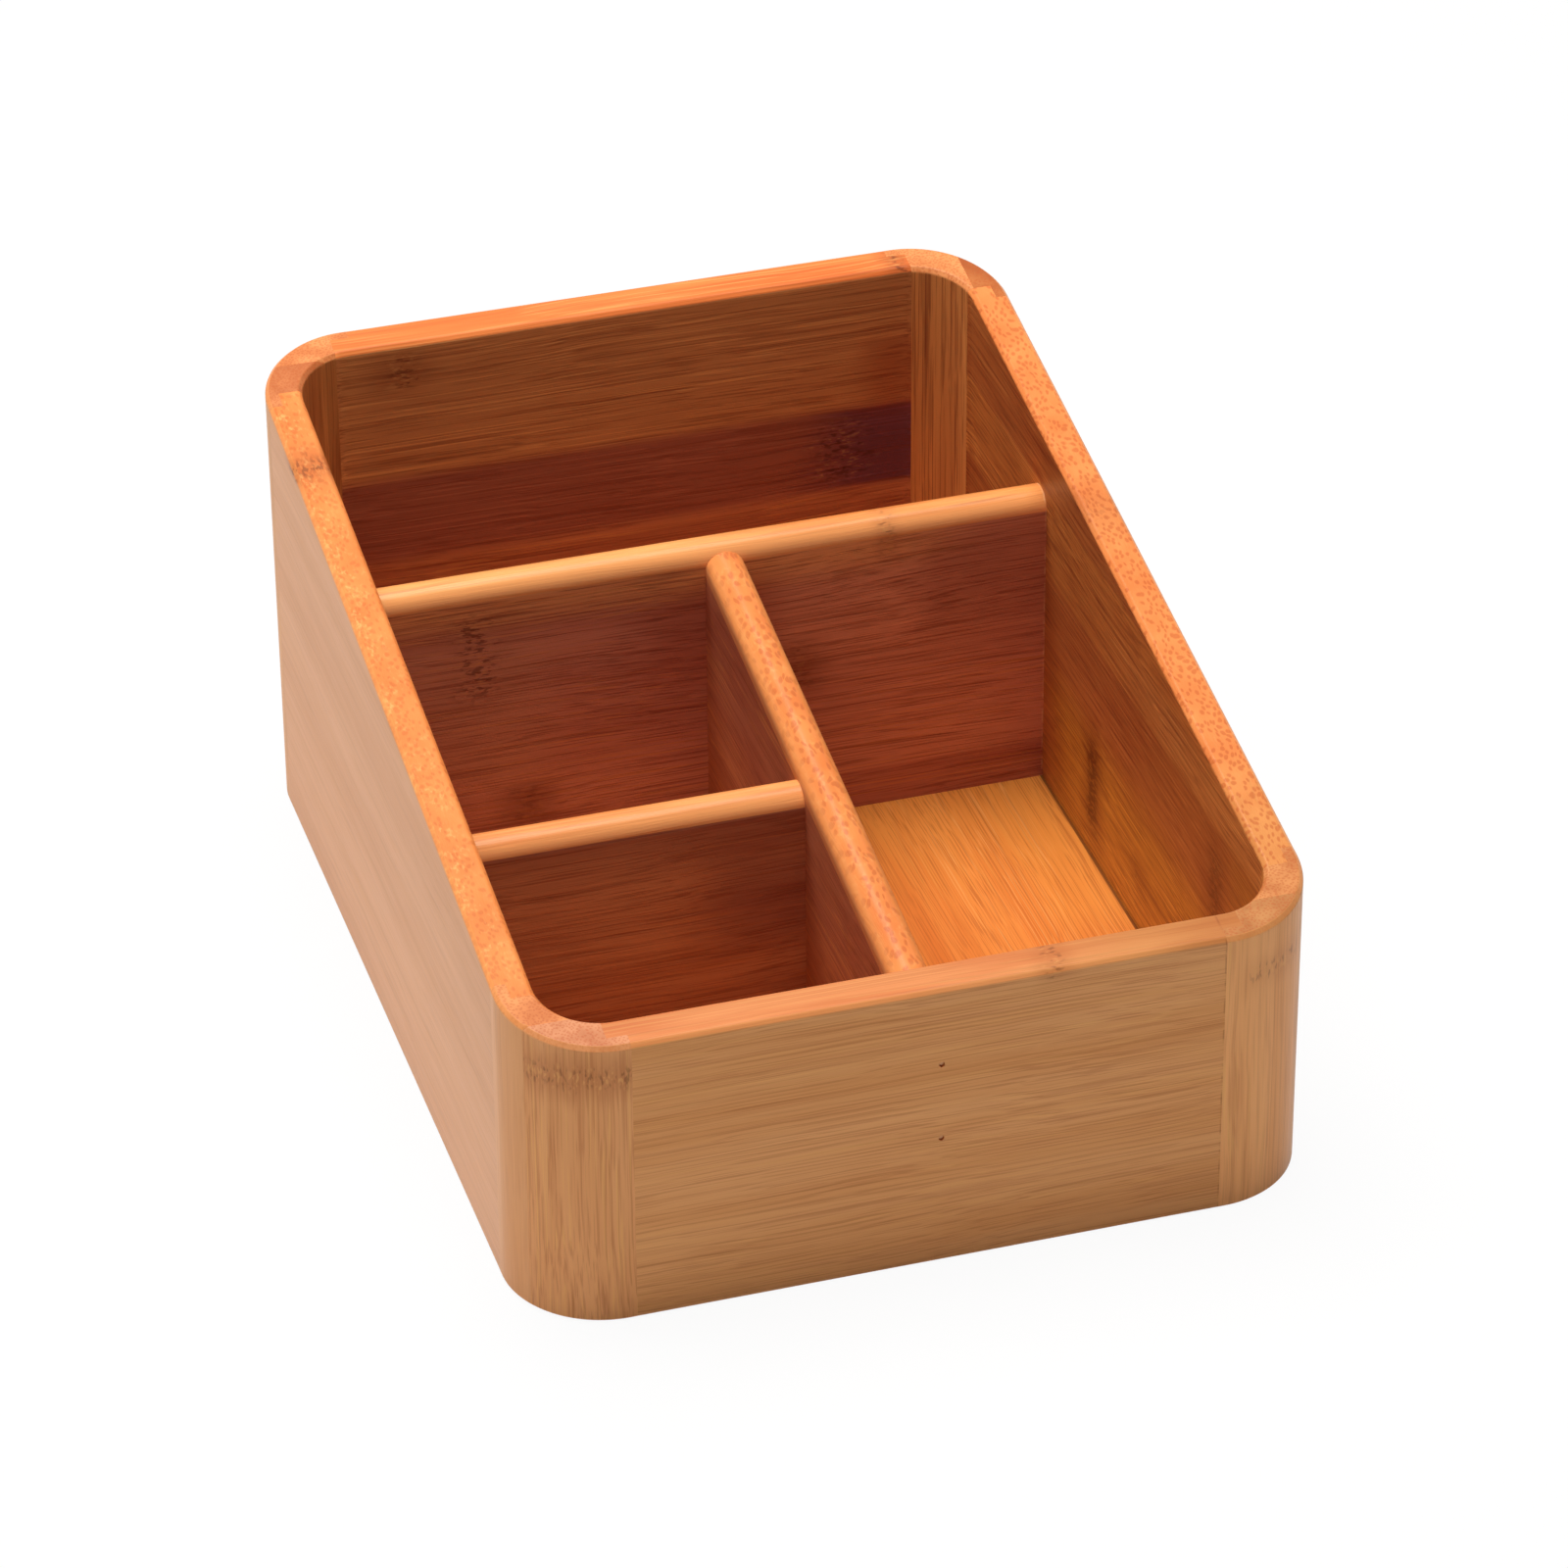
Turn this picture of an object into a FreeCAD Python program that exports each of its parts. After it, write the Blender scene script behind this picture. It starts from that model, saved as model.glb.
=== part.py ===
import FreeCAD, Part
import math
import os

# An open-topped bamboo organizer: four panels lapped into rounded corner posts, a bottom panel
# let into a groove, and three dividers that make four bins. The rim slopes down to the front.
# Millimetres, +Z up, +Y towards the back. The origin is under the middle of the box.

# Outside of the box
overall_width = 152.0
overall_depth = 206.0
front_height = 60.0
back_height = 95.4
wall = 7.3
corner_radius = 19.0
rim_ease = 0.8
foot_ease = 0.6

# Lapped glue joints between the posts and the panels
post_width = 20.3
lap_length = 3.8
lip_thickness = 2.8

# Glue line between the two upright strips of each post, from the box's outer face
front_left_strip = 9.0
front_right_strip = 8.6
back_left_strip = 8.4
back_right_strip = 6.3

# Bottom panel, held in a groove all round
bottom_thickness = 5.0
bottom_recess = 2.1
groove_depth = 2.5
groove_clearance = 0.15

# Dividers, placed from the outer front face and from the middle of the width
divider_thickness = 7.9
divider_round_share = 0.48
cross_divider_front = 140.0
cross_divider_rise = 1.2
long_divider_offset = 2.8
long_divider_drop = 13.0
short_divider_front = 74.0
short_divider_drop = 3.7

# Headless pins, two at each pinned end of a divider, the front ones a little left of its middle
pin_diameter = 1.0
pin_length = 19.0
pin_sink = 0.4
pin_clearance = 0.05
pin_below_top = 4.4
pin_pitch = 16.2
front_pin_aside = 1.0

# How far a cutting shape runs past what it cuts, and what counts as the same place
overrun = 5.0
same_place = 0.00001

# Sizes that follow from those above
half_width = overall_width / 2
half_depth = overall_depth / 2
inner_half_width = half_width - wall
inner_half_depth = half_depth - wall
inner_radius = corner_radius - wall
rim_slope = (back_height - front_height) / overall_depth
floor_top = bottom_recess + bottom_thickness
divider_round = divider_round_share * divider_thickness
cross_front_y = cross_divider_front - half_depth
cross_back_y = cross_front_y + divider_thickness
short_front_y = short_divider_front - half_depth
short_middle_y = short_front_y + divider_thickness / 2
long_left_x = long_divider_offset - divider_thickness / 2
long_right_x = long_divider_offset + divider_thickness / 2
panel_inner_y = -inner_half_depth
front_pin_x = long_divider_offset - front_pin_aside


def point(x, y, z):
    return FreeCAD.Vector(x, y, z)


def rim_height(y):
    """Height of the sloping rim at a distance y from the middle of the box."""
    return front_height + rim_slope * (y + half_depth)


def long_divider_top(y):
    """Height of the lengthwise divider, whose top runs parallel to the rim."""
    return rim_height(y) - long_divider_drop


def cross_divider_top():
    """Height of the cross divider, a little over the end of the lengthwise one that it stops."""
    return long_divider_top(cross_front_y) + cross_divider_rise


def short_divider_top():
    """Height of the short divider, which meets the lengthwise one below its top."""
    return long_divider_top(short_middle_y) - short_divider_drop


def one_solid(shape):
    """The single solid that a cut leaves, with its split faces joined again."""
    solids = shape.removeSplitter().Solids
    if len(solids) != 1:
        raise ValueError("expected one solid, found %d" % len(solids))
    return solids[0]


def prism(points, sweep):
    """A closed outline pushed along a vector."""
    outline = Part.makePolygon(points + points[:1])
    return Part.Face(outline).extrude(sweep)


def rounded_block(half_x, half_y, radius, low, high):
    """An upright block, centred on the origin, with its four upright edges rounded."""
    corner = point(-half_x, -half_y, low)
    block = Part.makeBox(2 * half_x, 2 * half_y, high - low, corner)
    upright = [edge for edge in block.Edges if edge.BoundBox.ZLength > same_place]
    return block.makeFillet(radius, upright)


def above_rim():
    """Everything over the sloping rim."""
    near = -half_depth - overrun
    far = half_depth + overrun
    left = -half_width - overrun
    top = rim_height(far) + overrun
    side = [
        point(left, near, rim_height(near)),
        point(left, far, rim_height(far)),
        point(left, far, top),
        point(left, near, top),
    ]
    return prism(side, point(overall_width + 2 * overrun, 0, 0))


def hollow():
    """The space inside the walls."""
    return rounded_block(inner_half_width, inner_half_depth, inner_radius, -overrun, back_height + overrun)


def middle_of(edge):
    return edge.valueAt((edge.FirstParameter + edge.LastParameter) / 2)


def is_rim_edge(edge):
    spot = middle_of(edge)
    return abs(spot.z - rim_height(spot.y)) < same_place


def is_foot_edge(edge):
    return abs(middle_of(edge).z) < same_place


def wall_ring():
    """The four walls and corners in one piece, eased along rim and foot, with the bottom's groove."""
    ring = rounded_block(half_width, half_depth, corner_radius, 0, back_height)
    ring = ring.cut(hollow()).cut(above_rim())
    ring = ring.makeChamfer(rim_ease, [edge for edge in ring.Edges if is_rim_edge(edge)])
    ring = ring.makeChamfer(foot_ease, [edge for edge in ring.Edges if is_foot_edge(edge)])
    return ring.cut(bottom_block(groove_depth + groove_clearance))


def bottom_block(reach):
    """The bottom panel's slab, reaching into the walls."""
    return rounded_block(
        inner_half_width + reach,
        inner_half_depth + reach,
        inner_radius + reach,
        bottom_recess,
        floor_top,
    )


def panel_cell(half_length, half_face, turn):
    """The upright space that one panel takes up, with the laps at both of its ends.

    It is drawn for a panel that faces the front, then turned about the upright axis.
    """
    face = -half_face
    short = half_length - post_width
    long = short + lap_length
    plan = [
        (-short, face - overrun),
        (short, face - overrun),
        (short, face + lip_thickness),
        (long, face + lip_thickness),
        (long, face + corner_radius),
        (-long, face + corner_radius),
        (-long, face + lip_thickness),
        (-short, face + lip_thickness),
    ]
    low = -overrun
    cell = prism([point(x, y, low) for x, y in plan], point(0, 0, back_height + 2 * overrun))
    cell.rotate(point(0, 0, 0), point(0, 0, 1), turn)
    return cell


def corner_cell(x_side, y_side, width, depth):
    """An upright block that fills one corner of the box, measured from its outer faces."""
    x = half_width if x_side > 0 else -half_width
    y = half_depth if y_side > 0 else -half_depth
    inner = point(x - x_side * width, y - y_side * depth, -overrun)
    outer = point(x + x_side * overrun, y + y_side * overrun, back_height + overrun)
    low = point(min(inner.x, outer.x), min(inner.y, outer.y), inner.z)
    size = point(abs(outer.x - inner.x), abs(outer.y - inner.y), outer.z - inner.z)
    return Part.makeBox(size.x, size.y, size.z, low)


def post_strips(ring, cells, x_side, y_side, strip, beside_y_face):
    """One corner post as its two glued strips, the one at the measured outer face first."""
    post = ring.common(corner_cell(x_side, y_side, post_width, post_width))
    for cell in cells:
        post = post.cut(cell)
    width, depth = (post_width, strip) if beside_y_face else (strip, post_width)
    near = corner_cell(x_side, y_side, width, depth)
    return one_solid(post.common(near)), one_solid(post.cut(near))


def rounded_top_outline(thickness, low, top, radius):
    """A divider's section as (across, height) pairs, with both top edges rounded over."""
    slant = radius - radius * math.cos(math.pi / 4)
    left_side = [(0, low), (0, top - radius)]
    left_arc = ((0, top - radius), (slant, top - slant), (radius, top))
    right = thickness - radius
    right_arc = ((right, top), (thickness - slant, top - slant), (thickness, top - radius))
    right_side = [(thickness, top - radius), (thickness, low)]
    return left_side, left_arc, right_arc, right_side


def rounded_top_face(place, thickness, low, top):
    """The section as a face, where place turns an (across, height) pair into a point."""
    sides = rounded_top_outline(thickness, low, top, divider_round)
    left_side, left_arc, right_arc, right_side = sides

    def line(start, end):
        return Part.LineSegment(place(*start), place(*end)).toShape()

    def arc(start, middle, end):
        return Part.Arc(place(*start), place(*middle), place(*end)).toShape()

    edges = [
        line(*left_side),
        arc(*left_arc),
        line(left_arc[2], right_arc[0]),
        arc(*right_arc),
        line(*right_side),
        line(right_side[1], left_side[0]),
    ]
    return Part.Face(Part.Wire(edges))


def level_divider(front_y, height, left_x, right_x):
    """A divider across the box, with a level top, trimmed to the inside of the walls."""
    face = rounded_top_face(
        lambda across, up: point(left_x, front_y + across, up), divider_thickness, floor_top, height
    )
    return face.extrude(point(right_x - left_x, 0, 0)).common(hollow())


def sloping_divider():
    """The lengthwise divider: a section pushed along the slope and cut level at the floor."""
    length = cross_front_y - panel_inner_y
    rise = rim_slope * length
    face = rounded_top_face(
        lambda across, up: point(long_left_x + across, panel_inner_y, up),
        divider_thickness,
        floor_top - rise - overrun,
        long_divider_top(panel_inner_y),
    )
    under = Part.makeBox(
        overall_width,
        overall_depth,
        floor_top + rise + 2 * overrun,
        point(-half_width, -half_depth, -rise - 2 * overrun),
    )
    return face.extrude(point(0, length, rise)).cut(under)


def rod(start, direction, radius, begin, end):
    """A round bar along a direction, between two distances from its start."""
    return Part.makeCylinder(radius, end - begin, start + direction * begin, direction)


def pin_set(start_x, start_y, divider_top, direction):
    """Two pins, one over the other, and the holes that they are driven into."""
    pins = []
    holes = []
    tip = pin_sink + pin_length
    for step in range(2):
        start = point(start_x, start_y, divider_top - pin_below_top - step * pin_pitch)
        pins.append(rod(start, direction, pin_diameter / 2, pin_sink, tip))
        holes.append(rod(start, direction, pin_diameter / 2 + pin_clearance, -overrun, tip))
    return pins, holes


def with_holes(shape, holes):
    for hole in holes:
        shape = shape.cut(hole)
    return one_solid(shape)


def make_walls():
    """The panels and the strips of the posts, by name."""
    ring = wall_ring()
    cells = {
        "front_panel": panel_cell(half_width, half_depth, 0),
        "right_side_panel": panel_cell(half_depth, half_width, 90),
        "back_panel": panel_cell(half_width, half_depth, 180),
        "left_side_panel": panel_cell(half_depth, half_width, 270),
    }
    pieces = {name: one_solid(ring.common(cell)) for name, cell in cells.items()}
    posts = [
        ("front_left_post", -1, -1, front_left_strip, "front_strip", "side_strip"),
        ("front_right_post", 1, -1, front_right_strip, "front_strip", "side_strip"),
        ("back_left_post", -1, 1, back_left_strip, "back_strip", "side_strip"),
        ("back_right_post", 1, 1, back_right_strip, "side_strip", "back_strip"),
    ]
    for name, x_side, y_side, strip, near_name, far_name in posts:
        beside_y_face = near_name != "side_strip"
        strips = post_strips(ring, cells.values(), x_side, y_side, strip, beside_y_face)
        pieces[name + "_" + near_name], pieces[name + "_" + far_name] = strips
    return pieces


def make_dividers():
    """The three dividers, by name."""
    return {
        "cross_divider": level_divider(cross_front_y, cross_divider_top(), -half_width, half_width),
        "long_divider": sloping_divider(),
        "short_divider": level_divider(short_front_y, short_divider_top(), -half_width, long_left_x),
    }


def make_pieces():
    """Every piece of the organizer, by name."""
    pieces = make_walls()
    pieces.update(make_dividers())
    pieces["bottom_panel"] = bottom_block(groove_depth)

    backwards = point(0, 1, 0)
    forwards = point(0, -1, 0)
    leftwards = point(-1, 0, 0)
    long_front_top = long_divider_top(panel_inner_y)
    long_back_top = long_divider_top(cross_front_y)
    fixings = [
        ("front_pins", "front_panel", "long_divider",
         pin_set(front_pin_x, -half_depth, long_front_top, backwards)),
        ("cross_divider_pins", "cross_divider", "long_divider",
         pin_set(long_divider_offset, cross_back_y, long_back_top, forwards)),
        ("long_divider_pins", "long_divider", "short_divider",
         pin_set(long_right_x, short_middle_y, short_divider_top(), leftwards)),
    ]
    for name, through, into, (pins, holes) in fixings:
        pieces[through] = with_holes(pieces[through], holes)
        pieces[into] = with_holes(pieces[into], holes)
        pieces[name] = Part.makeCompound(pins)
    return pieces


os.makedirs("parts", exist_ok=True)
for piece_name, piece in make_pieces().items():
    piece.exportStep("parts/%s.step" % piece_name)
    print(piece_name, len(piece.Solids), "solids", round(piece.Volume), "cubic mm")
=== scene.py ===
import math
from typing import NamedTuple

import bmesh
import bpy
from bpy.props import FloatProperty, FloatVectorProperty, PointerProperty
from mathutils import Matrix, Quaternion, Vector


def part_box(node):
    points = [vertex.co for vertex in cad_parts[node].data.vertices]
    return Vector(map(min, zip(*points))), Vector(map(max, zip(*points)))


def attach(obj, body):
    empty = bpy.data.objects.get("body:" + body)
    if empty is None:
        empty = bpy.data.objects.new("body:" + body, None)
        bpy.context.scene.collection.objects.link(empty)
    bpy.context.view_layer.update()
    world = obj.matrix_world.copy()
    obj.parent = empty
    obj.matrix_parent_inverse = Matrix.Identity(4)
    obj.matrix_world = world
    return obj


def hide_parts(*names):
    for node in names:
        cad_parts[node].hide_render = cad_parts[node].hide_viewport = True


bl_info = {
    "name": "Bamboo Vanity Organizer",
    "version": (1, 0, 0),
    "blender": (4, 5, 0),
    "location": "View3D > Sidebar > Organizer",
    "description": "Finishes a divided bamboo organizer: its boards, corner posts, pins and stage",
    "category": "Object",
}

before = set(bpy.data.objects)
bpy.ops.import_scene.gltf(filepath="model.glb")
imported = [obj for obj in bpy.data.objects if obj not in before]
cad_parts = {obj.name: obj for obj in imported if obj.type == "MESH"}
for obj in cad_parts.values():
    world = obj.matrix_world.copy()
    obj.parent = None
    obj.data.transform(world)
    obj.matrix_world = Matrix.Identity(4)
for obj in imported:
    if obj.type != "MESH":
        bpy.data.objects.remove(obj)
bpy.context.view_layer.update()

MM = 0.001
BODY = "root"


def srgb(red, green, blue):
    """A colour given as 0 to 255 on a screen, as the linear numbers that a shader takes."""

    def linear(value):
        share = value / 255
        return share / 12.92 if share <= 0.04045 else ((share + 0.055) / 1.055) ** 2.4

    return linear(red), linear(green), linear(blue)


# Sizes and colours that a user would change


def colour_property(name, description, red, green, blue):
    return FloatVectorProperty(
        name=name, description=description, subtype="COLOR", size=3, min=0, max=1,
        default=srgb(red, green, blue),
    )


def length_property(name, description, millimetres, most):
    return FloatProperty(
        name=name, description=description, subtype="DISTANCE", unit="LENGTH", min=0, max=most * MM,
        default=millimetres * MM,
    )


def angle_property(name, description, degrees):
    return FloatProperty(
        name=name, description=description, subtype="ANGLE", unit="ROTATION",
        default=math.radians(degrees),
    )


class BambooFinish(bpy.types.PropertyGroup):
    """Colours and lacquer of the bamboo."""

    face_pale: colour_property("Pale Face", "Light fibres on the outer faces", 236, 171, 112)
    face_deep: colour_property("Deep Face", "Darker bands on the outer faces", 223, 154, 92)
    # The inside colours below are darker copies of the outer ones: painted shade on the faces inside the
    # bins, with cool purplish clouds in it
    shaded_inner_pale: colour_property("Pale Inside", "Light fibres on the faces inside the bins", 212, 136, 88)
    shaded_inner_deep: colour_property("Deep Inside", "Darker bands on the faces inside the bins", 174, 98, 64)
    streak: colour_property("Streaks", "Brown fibre bundles lying in the faces", 166, 86, 38)
    shaded_inner_streak: colour_property(
        "Inside Streaks", "Fibre bundles on the faces inside the bins", 124, 54, 30
    )
    hairline: colour_property("Hairlines", "Thin pale lines between the fibre bundles", 246, 186, 112)
    shaded_inner_hairline: colour_property("Inside Hairlines", "Thin pale lines inside the bins", 222, 148, 84)
    cut_pale: colour_property("Pale Cut", "Ground colour of cut edges and rims", 241, 148, 78)
    cut_deep: colour_property("Deep Cut", "Cloudy darker parts of cut edges and rims", 224, 122, 58)
    end_pale: colour_property("Pale End", "Ground colour of the posts' end grain", 234, 152, 92)
    end_deep: colour_property("Deep End", "Cloudy darker parts of the posts' end grain", 206, 120, 66)
    shaded_inner_cool: colour_property(
        "Cool Inside", "Cloudy purplish parts of the faces inside the bins", 140, 68, 66
    )
    # The edge colour is partly the dividers' own ochre and partly painted light: a highlight along the
    # eased outer rims, and a lift for the shaded lower rounding of the dividers' tops
    edge: colour_property("Edges", "Ochre of rounded edges, where the lacquer gathers", 250, 169, 102)
    pore: colour_property("Pores", "Ends of the fibre bundles where an edge cuts them", 184, 84, 36)
    ring: colour_property("Rings", "Dark flecks at the rings of the culm", 84, 36, 18)
    roughness: FloatProperty(
        name="Roughness", description="Roughness of the satin lacquer",
        subtype="FACTOR", min=0, max=1, default=0.4,
    )
    relief: length_property("Fibre Relief", "Depth of the fibres under the lacquer", 0.04, 1)


class BoardSizes(bpy.types.PropertyGroup):
    """Sizes of the boards' grain, of their softened edges and of the pins' eased ends."""

    edge_round: length_property("Edge Rounding", "Radius on both sides of the eased edges", 0.28, 1)
    streak_width: length_property("Streak Width", "Width of a brown streak", 1.2, 10)
    streak_length: length_property("Streak Length", "Length of a brown streak", 90, 500)
    pore_width: length_property("Pore Width", "Spacing of the pores across a cut edge", 1.05, 10)
    pore_length: length_property("Pore Length", "Spacing of the pores along a cut edge", 1.75, 20)
    pin_ease: length_property("Pin Ease", "How far the ends of a pin are eased", 0.12, 0.4)


class StudioSettings(bpy.types.PropertyGroup):
    """Camera, lamps and floor."""

    lens: FloatProperty(
        name="Lens", description="Focal length of the camera in millimetres",
        subtype="DISTANCE_CAMERA", min=10, max=500, default=154.53,
    )
    azimuth: angle_property("Azimuth", "Direction of the camera, seen from above", -16.6146)
    elevation: angle_property("Elevation", "Height of the camera over the horizon", 32.7028)
    roll: angle_property("Roll", "Turn of the camera about its own line of sight", -0.4536)
    distance: length_property(
        "Distance", "Distance from the camera to the point it looks at", 1291.7, 10000
    )
    target: FloatVectorProperty(
        name="Target", description="The point that the camera looks at",
        subtype="TRANSLATION", unit="LENGTH", size=3, default=(0.00339, 0, 0.04022),
    )
    key_power: FloatProperty(
        name="Key Power", description="Power of the soft lamp overhead, in watts",
        min=0, max=1000, default=20,
    )
    key_place: FloatVectorProperty(
        name="Key Place", description="Where the soft lamp hangs",
        subtype="TRANSLATION", unit="LENGTH", size=3, default=(-0.12, 0.2, 1.15),
    )
    fill: FloatProperty(
        name="Fill", description="Strength of the even light from all round",
        min=0, max=5, default=0.1,
    )
    floor: FloatVectorProperty(
        name="Floor", description="Colour of the floor",
        subtype="COLOR", size=3, min=0, max=1, default=(0.92, 0.92, 0.92),
    )


# Node trees


class Graph:
    """A node tree with short ways to add nodes and join them."""

    def __init__(self, tree):
        self.tree = tree

    def add(self, kind, settings=(), **inputs):
        """A node with its settings, and its inputs joined to sockets or set to values."""
        node = self.tree.nodes.new(kind)
        for name, value in dict(settings).items():
            setattr(node, name, value)
        for name, value in inputs.items():
            self.feed(node.inputs[name.replace("_", " ")], value)
        return node

    def feed(self, socket, value):
        if isinstance(value, bpy.types.NodeSocket):
            self.tree.links.new(value, socket)
        else:
            socket.default_value = value

    def feed_all(self, sockets, values):
        for socket, value in zip(sockets, values):
            self.feed(socket, value)

    def math(self, operation, *values):
        node = self.add("ShaderNodeMath", {"operation": operation})
        self.feed_all(node.inputs, values)
        return node.outputs[0]

    def times(self, *values):
        """The product of two or more values."""
        product = values[0]
        for value in values[1:]:
            product = self.math("MULTIPLY", product, value)
        return product

    def vector(self, operation, *values):
        node = self.add("ShaderNodeVectorMath", {"operation": operation})
        self.feed_all(node.inputs, values)
        return node.outputs["Value" if operation == "DOT_PRODUCT" else "Vector"]

    def scaled(self, vector, factor):
        node = self.add("ShaderNodeVectorMath", {"operation": "SCALE"}, Scale=factor)
        self.feed(node.inputs[0], vector)
        return node.outputs[0]

    def split(self, vector):
        return self.add("ShaderNodeSeparateXYZ", Vector=vector).outputs

    def join(self, x, y, z):
        return self.add("ShaderNodeCombineXYZ", X=x, Y=y, Z=z).outputs[0]

    def step(self, value, low, high):
        """Rises smoothly from 0 at low to 1 at high, or falls where low is over high."""
        node = self.add("ShaderNodeMapRange", {"interpolation_type": "SMOOTHSTEP"}, Value=value)
        falling = low > high
        ends = (high, low, 1.0, 0.0) if falling else (low, high, 0.0, 1.0)
        self.feed_all(node.inputs[1:5], ends)
        return node.outputs[0]

    def ramp(self, value, start, end, first, last):
        """Goes straight from first at start to last at end."""
        node = self.add("ShaderNodeMapRange", Value=value)
        self.feed_all(node.inputs[1:5], (start, end, first, last))
        return node.outputs[0]

    def between(self, value, low, high, softness):
        """One between two places, and zero outside them."""
        rise = self.step(value, low - softness, low + softness)
        fall = self.step(value, high + softness, high - softness)
        return self.math("MULTIPLY", rise, fall)

    def noise(self, vector, detail, roughness=0.5):
        settings = {"Scale": 1.0, "Detail": detail, "Roughness": roughness}
        return self.add("ShaderNodeTexNoise", Vector=vector, **settings).outputs[0]

    def waves(self, place, waves):
        """The noise of some Waves at a place, softly cut off if they have two levels for it."""
        place = self.vector("MULTIPLY_ADD", place, waves.spread, waves.offset)
        noise = self.noise(place, waves.detail, waves.roughness)
        return self.step(noise, *waves.edge) if waves.edge else noise

    def mix(self, factor, first, second):
        """A colour between two others, each a socket or a tuple."""
        node = self.add("ShaderNodeMix", {"data_type": "RGBA"})
        self.feed(node.inputs[0], factor)
        for socket, colour in zip(node.inputs[6:8], (first, second)):
            self.feed(socket, colour if isinstance(colour, bpy.types.NodeSocket) else (*colour, 1))
        return node.outputs[2]

    def group(self, tree, **inputs):
        node = self.add("ShaderNodeGroup", {"node_tree": tree})
        for name, value in inputs.items():
            self.feed(node.inputs[name], value)
        return node.outputs


def cleared_graph(owner):
    """The graph of a material or a world, with its nodes cleared."""
    owner.use_nodes = True
    owner.node_tree.nodes.clear()
    return Graph(owner.node_tree)


def make_tree(name, kind, inputs, outputs):
    """An empty node group with named sockets, its graph, and the sockets inside it."""
    tree = bpy.data.node_groups.new(name, kind)
    for side, sockets in (("INPUT", inputs), ("OUTPUT", outputs)):
        for socket, socket_kind in sockets.items():
            tree.interface.new_socket(socket, in_out=side, socket_type="NodeSocket" + socket_kind)
    graph = Graph(tree)
    return graph, graph.add("NodeGroupInput").outputs, graph.add("NodeGroupOutput").inputs


def shader_group(name, inputs, outputs, fill):
    """A shader node group, built once, whose fill function returns what goes to each output."""
    if name not in bpy.data.node_groups:
        floats = {output: "Float" for output in outputs}
        graph, entry, leaving = make_tree(name, "ShaderNodeTree", inputs, floats)
        graph.feed_all(leaving, fill(graph, entry))
    return bpy.data.node_groups[name]


class Waves(NamedTuple):
    """A noise: how many waves it has to a unit on each axis, and the levels it is cut off between."""

    spread: tuple
    detail: float = 2.0
    roughness: float = 0.5
    edge: tuple = None
    offset: tuple = (0, 0, 0)


# Along, across and through the grain, to a millimetre
SLOW_SWAY = Waves((0.012, 0.035, 0.035), 1)
QUICK_SWAY = Waves((0.06, 0.16, 0.16), 1)
BANDS = Waves((0.006, 0.11, 0.11), 3, 0.6)
HAIRLINE_PATCHES = Waves((0.012, 0.09, 0.09), 1, edge=(0.32, 0.52))
FIBRES = Waves((0.09, 4.2, 4.2), 2, 0.6)
RING_JAGS = Waves((0.05, 0.7, 0.7))
RING_FLECKS = Waves((0.55, 1.5, 1.5), 1)
COOL_CLOUDS = Waves((0.015, 0.04, 0.04), 1, edge=(0.42, 0.62))
CUT_CLOUDS = {
    "long": Waves((0.02, 0.16, 0.16), 3, edge=(0.3, 0.7)),
    "pores": Waves((0.11, 0.16, 0.16), 3, edge=(0.1, 0.9)),
    "end": Waves((0.11, 0.16, 0.16), 3, edge=(0.3, 0.7)),
    "floor": Waves((0.006, 0.12, 0.12), 3, edge=(0.3, 0.7)),
}

# Along, across and through the grain, to a streak
STREAKS = Waves((1, 1, 1), 3, 0.6, edge=(0.5, 0.74))
LINES = Waves((1.7, 2.6, 2.6), 2, 0.6, edge=(0.48, 0.64), offset=(17, 5, 9))
HAIRLINES = Waves((0.8, 2.6, 2.6), 1, edge=(0.56, 0.67), offset=(37, 11, 5))

# Along X, Y and Z, to a millimetre
PORE_BENDS = Waves((0.2, 0.12, 0))
PORE_FLECKS = Waves((1.3, 0.75, 0.75), 2, 0.6, edge=(0.48, 0.68))
FLECK_PATCHES = Waves((0.3, 0.3, 0.3), edge=(0.38, 0.6))
SEAM_BREAKS = Waves((0.35, 0.35, 0.35), edge=(0.4, 0.6))

# Strength of the quick sway, and distances from a strip's edge where its joint fades, in millimetres
QUICK_REACH = 0.5
STRIP_JOINT = (0.22, 0.02)

# How ragged a ring is, where its flecks and its stain fade, in shares of its reach, and the levels
# of noise that give dark and pale flecks
RING_RAGS = 1.6
FLECKS_ALONG, FLECKS_ACROSS = (1.1, 0.2), (1.0, 0.5)
STAIN_ALONG, STAIN_ACROSS = (2.4, 0.1), (1.4, 0.3)
DARK_FLECKS = (0.55, 0.66)
PALE_FLECKS = (0.44, 0.34)

# Bend and disorder of the rows of pores, and a dot's least size, spread of sizes and soft edge
PORE_BEND = 4.0
PORE_DISORDER = 0.8
PORE_LEAST, PORE_SPREAD = 0.2, 0.16
PORE_EDGE = (0.19, -0.06)


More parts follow.
